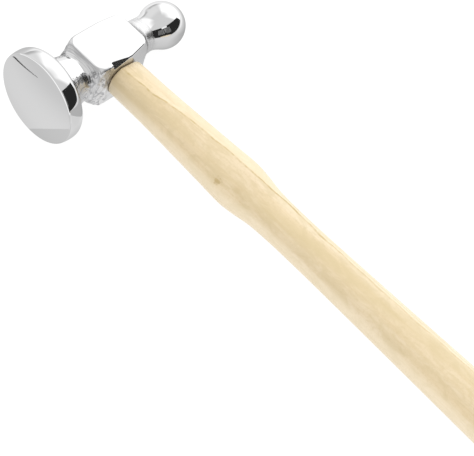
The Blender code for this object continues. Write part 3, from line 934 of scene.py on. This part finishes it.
def ridge_lines(tree, point, x):
    """The worn line along the handle's ridge and a fainter one beside it, as two shares."""
    ridge_gap = attribute(tree, "ridge_gap")
    wander = times_plus(tree, grain(tree, point, (0.16, 0.1, 0.1), 3.0), 1.6, -0.8)
    gap = added(tree, ridge_gap, wander)
    broken = ramp(tree, grain(tree, point, (0.55, 0.1, 0.1), 4.0), 0.36, 0.60, 0.35, 0.85)
    fading = times(tree, broken, ramp(tree, x, 70.0, 110.0, 1.0, 0.45))
    worn_line = times(tree, fall(tree, size_of(tree, gap), 0.10, 0.42), fading)
    second_gap = size_of(tree, added(tree, gap, SECOND_LINE_GAP))
    second_line = times(tree, fall(tree, second_gap, 0.1, 0.4), ramp(tree, x, 58.0, 75.0, 0.0, 0.35))
    return worn_line, second_line


def end_grain(tree, y, z):
    """The growth rings that a cut across the handle shows."""
    across_pith = math_node(tree, "POWER", added(tree, y, -PITH_Y), 2.0)
    above_pith = math_node(tree, "POWER", added(tree, z, -PITH_Z), 2.0)
    from_pith = math_node(tree, "SQRT", added(tree, across_pith, above_pith))
    rings = math_node(tree, "SINE", times(tree, from_pith, RING_RATE))
    return blend_colour(tree, ramp(tree, rings, -0.2, 1.0), END_GRAIN, END_GRAIN_RING)


def wood_material():
    """Pale, straight-grained hardwood, lightly sealed, with small knots and a worn line on its ridge; its
    colour also carries painted shade on the facet and by the shoulder, and painted light on the ball side and
    the low sides.
    """
    material, tree, shader = new_material("pale_hardwood_surface")
    shader.inputs["Sheen Weight"].default_value = 0.25
    shader.inputs["Sheen Roughness"].default_value = 0.35
    point = hammer_axes(tree)
    x, y, z = split(tree, point)
    normal_x, _, normal_z = split(tree, hammer_normal(tree))
    fibre = grain(tree, point, (0.05, 1.7, 1.7), 6.0, 0.62)
    streak = grain(tree, point, (0.014, 0.42, 0.42), 3.0, shift=(3.1, 0.0, 1.7))
    figure = grain(tree, point, (0.15, 0.36, 0.36), 4.0, 0.62, (0.0, 5.2, 0.0), 1.0)
    speckle = noise_node(tree, point, scale=1.1, detail=4.0, roughness=0.7)
    # Painted shade: a darker band over the flat facet on the face side of the grip
    painted_facet_shade = times(tree, band_mask(tree, y, -5.0, -1.4, 1.8), 0.30)
    # A darker band down the middle of the grip
    dark_band = band_mask(tree, attribute(tree, "dark_band_gap"), -0.5, 0.5, 2.3)
    dark_band = times(tree, dark_band, ramp(tree, x, 55.0, 75.0, 0.0, 0.50))
    colour = layered(tree, PALE_WOOD, (
        (ramp(tree, streak, 0.40, 0.64), WOOD_STREAK),
        (ramp(tree, fibre, 0.44, 0.74, 0.0, 0.70), WOOD_FIBRE),
        (ramp(tree, figure, 0.42, 0.60, 0.0, 0.60), WOOD_FIGURE),
        (ramp(tree, speckle, 0.48, 0.66, 0.0, 0.40), WOOD_SPECKLE),
        (painted_facet_shade, WOOD_FACET_PAINTED_SHADE),
        # painted highlight: paler towards the ball side, where the light from behind falls
        (ramp(tree, y, -0.6, 3.4, 0.0, 0.40), WOOD_BALL_SIDE_PAINTED_LIGHT),
        (dark_band, WOOD_DARK_BAND),
        # painted light: paler where the surface turns to the handle's sides, standing in for sheen at grazing
        # angles
        (ramp(tree, normal_z, 0.05, 0.55, 0.50, 0.0), WOOD_LOW_SIDE_PAINTED_LIGHT),
    ))

    wobble = times_plus(tree, speckle, 4.4, -2.2)
    for centre, size, strength in KNOTS:
        gap = added(tree, distance_from(tree, point, centre), wobble)
        knot = ramp(tree, gap, 0.2 * size, size, strength, 0.0)
        colour = blend_colour(tree, knot, colour, WOOD_KNOT)

    worn_line, second_line = ridge_lines(tree, point, x)
    colour = layered(tree, colour, (
        (worn_line, WORN_RIDGE),
        (second_line, SECOND_LINE),
        # painted shade by the shoulder, where the handle meets the head
        (ramp(tree, x, SHOULDER_X + 0.12, SHOULDER_X + 0.40, 0.50, 0.0), SHOULDER_PAINTED_SHADE),
        (ramp(tree, size_of(tree, normal_x), 0.75, 0.95), end_grain(tree, y, z)),
    ))
    tree.links.new(colour, shader.inputs["Base Color"])
    tree.links.new(times_plus(tree, fibre, 0.18, 0.34), shader.inputs["Roughness"])
    add_bump(tree, shader, fibre, 0.22, 0.0002)
    return material


# ---------------- studio

MIRROR_ONLY = ("camera", "diffuse", "shadow", "transmission")
QUAD = [(0, 1, 2, 3)]

# The tent's tones: the middle azimuth, the sideways and the upward fade in degrees, and what is added
TENT_RADIUS = 6.0
TENT_COLUMNS = 72
TENT_ROWS = 24
TENT_LOWEST = -8.0
TENT_HEIGHT = 98.0
TENT_GLOW = 0.90
TENT_TONES = [
    (190.0, (36.0, 54.0), (46.0, 84.0), 0.72),
    (275.0, (20.0, 50.0), (44.0, 66.0), 0.14),
    (245.0, (14.0, 22.0), (7.0, 18.0), -0.36),
    (0.0, (20.0, 40.0), (8.0, 22.0), 0.60),
]

FLOOR_SIZE = 30.0
FLOOR_CELLS = 60
FLOOR_REACH = 0.24
FLOOR_STRETCH = 60

# The dark card's lower edge runs sideways before the steel, and its top rises towards the far end
CARD_DISTANCE = 0.60
CARD_FACING = Vector((0.974, -0.225, 0.0))
CARD_SIDEWAYS = Vector((0.225, 0.974, 0.0))
CARD_ENDS = (-0.18, 4.2)
CARD_HEIGHT = 0.66
CARD_RISE = 0.22
CARD_GLOW = 0.03

# Pale slats and a bright spot that the ball shows before the dark card, by azimuth and elevation
SLAT_DISTANCE = 0.5
SLAT_AZIMUTHS = np.arange(73.0, 94.0, 3.6)
SLAT_WIDTH = 2.2
SLAT_ELEVATIONS = (13.0, 38.0)
SLAT_GLOW = 0.30
SPOT = ((70.0, 79.0), (40.0, 47.0), 1.25)

# What the steel sees of the handle's face side, in the hammer's axes
HANDLE_CARD = [(11.5, -8.2, -7.0), (120.0, -9.4, -7.0), (120.0, -9.4, 7.0), (11.5, -8.2, 7.0)]
HANDLE_CARD_GLOW = 0.62

# Patches on the floor that the striking face shows, in mm from under the head's middle
FACE_SHADE = [(-1.7, -27.0), (9.0, -42.5), (45.0, -42.5), (45.0, -27.0)]
FACE_SHADE_GLOW = 0.82
FACE_LINE = [(-34.9, -47.0), (-20.3, -59.1), (-20.1, -58.7), (-33.7, -45.5)]
FACE_LINE_GLOW = 0.05

LIGHT_DISTANCE = 1.6
LIGHT_TARGET = Vector((0.0, 0.0, 0.01))


def glowing(name, points, faces, glows, hidden_from):
    """A stage surface that glows by its own amount at each corner, hidden from the kinds of ray given."""
    mesh = bpy.data.meshes.new(name)
    mesh.from_pydata([tuple(point) for point in points], [], faces)
    mesh.attributes.new("glow", "FLOAT", "POINT").data.foreach_set("value", glows)
    item = linked(name, mesh)
    material, tree, _ = new_material(name)
    tree.nodes.clear()
    emission = tree.nodes.new("ShaderNodeEmission")
    output = tree.nodes.new("ShaderNodeOutputMaterial")
    tree.links.new(attribute(tree, "glow"), emission.inputs["Strength"])
    tree.links.new(emission.outputs[0], output.inputs["Surface"])
    material.cycles.emission_sampling = "NONE"
    mesh.materials.append(material)
    for kind in hidden_from:
        setattr(item, "visible_" + kind, False)


def glowing_card(name, corners, glow):
    glowing(name, corners, QUAD, [glow] * 4, MIRROR_ONLY)


def angle_gap(first, second):
    return abs((first - second + 180.0) % 360.0 - 180.0)


def towards(azimuth, elevation):
    """The direction of an azimuth and elevation in degrees; azimuth 0 is -Y and 90 is +X."""
    around, up = math.radians(azimuth), math.radians(elevation)
    return Vector((math.sin(around) * math.cos(up), -math.cos(around) * math.cos(up), math.sin(up)))


def tent_glow(azimuth, elevation):
    """How bright the tent is towards a direction."""
    value = TENT_GLOW
    for middle, sideways, upwards, gain in TENT_TONES:
        value += gain * fade(*sideways, angle_gap(azimuth, middle)) * fade(*upwards, elevation)
    return value


def make_tent(centre):
    """A big glowing tent around the scene, unseen by the camera, in a product studio's soft tones."""
    points, glows, faces = [], [], []
    for row in range(TENT_ROWS + 1):
        elevation = TENT_LOWEST + TENT_HEIGHT * row / TENT_ROWS
        for column in range(TENT_COLUMNS):
            azimuth = 360.0 * column / TENT_COLUMNS
            points.append(centre + towards(azimuth, elevation) * TENT_RADIUS)
            glows.append(tent_glow(azimuth, elevation))
    for row in range(TENT_ROWS):
        for column in range(TENT_COLUMNS):
            following = (column + 1) % TENT_COLUMNS
            low, high = row * TENT_COLUMNS, (row + 1) * TENT_COLUMNS
            faces.append((low + column, low + following, high + following, high + column))
    glowing("studio_tent", points, faces, glows, ("camera", "transmission"))


def blob(x, y, centre, spread):
    return math.exp(-((x - centre[0]) / spread[0]) ** 2 - ((y - centre[1]) / spread[1]) ** 2)


def floor_glow(x, y):
    """How bright the floor looks in the steel, by the distance in mm from under the head's middle."""
    azimuth = math.degrees(math.atan2(x, -y)) % 360
    by_face = fade(-26.0, -18.0, y)
    face_shade = 0.215 * smoothstep(28.0, 68.0, -y)
    far_front = 0.6 * smoothstep(90.0, 130.0, -y)
    handle_light = 0.28 * blob(x, y, (16.0, -7.0), (10.0, 9.0))
    ball_shade = 0.28 * blob(x, y, (12.0, 30.0), (16.0, 10.0))
    behind = plateau(azimuth, 184.0, 200.0, 240.0, 256.0)
    behind_light = 0.45 * behind * smoothstep(20.0, 34.0, math.hypot(x, y))
    far_back = 0.40 * (1 - behind) * smoothstep(45.0, 85.0, y) * fade(50.0, 160.0, abs(x + 20.0))
    before_face = 1.035 - face_shade + far_front
    beside = 0.92 + handle_light - ball_shade
    return beside + (before_face - beside) * by_face + behind_light + far_back


def make_seen_floor():
    """The plain floor that the camera sees."""
    size = FLOOR_SIZE
    mesh = bpy.data.meshes.new("studio_floor")
    mesh.from_pydata([(-size, -size, 0), (size, -size, 0), (size, size, 0), (-size, size, 0)], [], QUAD)
    item = linked("studio_floor", mesh)
    material, _, shader = new_material("studio_floor")
    shader.inputs["Base Color"].default_value = (0.14, 0.14, 0.14, 1.0)
    shader.inputs["Roughness"].default_value = 1.0
    shader.inputs["Specular IOR Level"].default_value = 0.0
    shader.inputs["Emission Color"].default_value = (1.0, 1.0, 1.0, 1.0)
    shader.inputs["Emission Strength"].default_value = 0.92
    material.cycles.emission_sampling = "NONE"
    mesh.materials.append(material)
    item.visible_glossy = False


def make_mirrored_floor(middle):
    """The softer floor that the steel mirrors, in cells that widen towards its edges."""
    points, glows, faces = [], [], []
    for row in range(FLOOR_CELLS + 1):
        for column in range(FLOOR_CELLS + 1):
            side = (2 * column / FLOOR_CELLS - 1) * FLOOR_REACH
            back = (2 * row / FLOOR_CELLS - 1) * FLOOR_REACH
            stretch = 1 + FLOOR_STRETCH * (max(abs(side), abs(back)) / FLOOR_REACH) ** 6
            points.append((middle.x + side * stretch, middle.y + back * stretch, 0.0))
            glows.append(floor_glow(side * stretch / MM, back * stretch / MM))
    for row in range(FLOOR_CELLS):
        for column in range(FLOOR_CELLS):
            corner = row * (FLOOR_CELLS + 1) + column
            above = corner + FLOOR_CELLS + 1
            faces.append((corner, corner + 1, above + 1, above))
    glowing("mirrored_floor", points, faces, glows, MIRROR_ONLY)


def floor_patch(name, middle, corners, glow, height):
    glowing_card(name, [(middle.x + x * MM, middle.y + y * MM, height) for x, y in corners], glow)


def make_dark_card(middle):
    feet = [middle + CARD_FACING * CARD_DISTANCE + CARD_SIDEWAYS * side for side in CARD_ENDS]
    tops = [foot + Vector((0, 0, CARD_HEIGHT + CARD_RISE * side)) for foot, side in zip(feet, CARD_ENDS)]
    glowing_card("dark_card", (feet[0], feet[1], tops[1], tops[0]), CARD_GLOW)


def make_hatched_card(centre):
    patches = [((azimuth, azimuth + SLAT_WIDTH), SLAT_ELEVATIONS, SLAT_GLOW) for azimuth in SLAT_AZIMUTHS]
    patches.append(SPOT)
    points, glows, faces = [], [], []
    for (left, right), (low, high), glow in patches:
        for azimuth, elevation in ((left, low), (right, low), (right, high), (left, high)):
            points.append(centre + towards(azimuth, elevation) * SLAT_DISTANCE)
            glows.append(glow)
        faces.append(tuple(range(len(points) - 4, len(points))))
    glowing("hatched_card", points, faces, glows, MIRROR_ONLY)


def soft_light(name, azimuth, elevation, size, power, colour):
    """A square soft light that lights the wood and the floor without showing in the steel."""
    data = bpy.data.lights.new(name, "AREA")
    data.size = size
    data.energy = power
    data.color = colour
    item = linked(name, data)
    direction = towards(azimuth, elevation)
    rotation = direction.to_track_quat("Z", "Y").to_matrix().to_4x4()
    item.matrix_world = Matrix.Translation(LIGHT_TARGET + direction * LIGHT_DISTANCE) @ rotation
    item.visible_glossy = False
    item.visible_camera = False


def make_studio():
    middle = place @ Vector((0, 0, 0))
    middle.z = 0.0
    make_seen_floor()
    make_mirrored_floor(middle)
    make_tent(middle)
    make_dark_card(middle)
    make_hatched_card(place @ Vector((0, BALL_CENTRE_Y, 0)))
    glowing_card("handle_card", [place @ Vector(corner) for corner in HANDLE_CARD], HANDLE_CARD_GLOW)
    floor_patch("face_shade", middle, FACE_SHADE, FACE_SHADE_GLOW, 0.0001)
    floor_patch("face_line", middle, FACE_LINE, FACE_LINE_GLOW, 0.0002)
    soft_light("back_light", 196.0, 42.0, 0.5, 3.1, (1.0, 0.99, 0.97))
    soft_light("fill_light", 20.0, 60.0, 1.2, 1.0, (1.0, 1.0, 1.0))

    world = bpy.data.worlds.new("studio_world")
    bpy.context.scene.world = world
    world.use_nodes = True
    background = world.node_tree.nodes["Background"]
    background.inputs["Color"].default_value = (1.0, 1.0, 1.0, 1.0)
    background.inputs["Strength"].default_value = 1.0


def make_camera():
    data = bpy.data.cameras.new("camera")
    data.lens = CAMERA_LENS
    data.sensor_fit = "HORIZONTAL"
    data.sensor_width = CAMERA_SENSOR
    data.clip_start = CAMERA_CLIP
    item = linked("camera", data)
    back = (turn @ CAMERA_BACK).normalized()
    right = (turn @ CAMERA_RIGHT).normalized()
    rotation = Matrix((right, back.cross(right), back)).transposed()
    item.matrix_world = Matrix.Translation(place @ CAMERA_PLACE) @ rotation.to_4x4()
    bpy.context.scene.camera = item


# ---------------- the hammer

def add_piece(name, rings, material, node, sharp_angle=SHARP_ANGLE):
    item = ring_mesh(name, rings)
    outwards(item)
    item.data.set_sharp_from_angle(angle=math.radians(sharp_angle))
    item.data.materials.append(material)
    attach(item, "root")
    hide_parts(node)
    return item


head = add_piece("head_forging", worked(head_rings()), steel_material(), "head",
                 HEAD_SHARP_ANGLE)
eye_cutter = ring_mesh("eye_cutter", [eye_oval(x, 0.0, even_angles(EYE_POINTS)) for x in EYE_CUTTER_X])
outwards(eye_cutter)
cut_out(head, eye_cutter)
bpy.data.objects.remove(eye_cutter)

handle = add_piece("handle_shaft", handle_rings(), wood_material(), "handle")
rings = wedge_rings(WOOD_WEDGE_TIP_X, WOOD_WEDGE_SIZE, WOOD_WEDGE_TIP_SIZE, WOOD_WEDGE_PROUD)
wood_wedge = add_piece("wedge_of_wood", rings, wedge_wood_material(), "wood_wedge")
rings = wedge_rings(STEEL_WEDGE_TIP_X, STEEL_WEDGE_SIZE, STEEL_WEDGE_TIP_SIZE, STEEL_WEDGE_PROUD,
                    STEEL_WEDGE_BARBS, STEEL_WEDGE_BARB_DEPTH)
steel_wedge = add_piece("wedge_of_steel", rings, wedge_steel_material(), "steel_wedge")
cut_out(handle, wood_wedge)
cut_out(handle, steel_wedge)
mark_gap(handle, "ridge_gap", RIDGE_STATIONS)
mark_gap(handle, "dark_band_gap", DARK_BAND_STATIONS)
cut_out(wood_wedge, steel_wedge)

make_studio()
make_camera()
bpy.context.scene.view_settings.view_transform = "Standard"
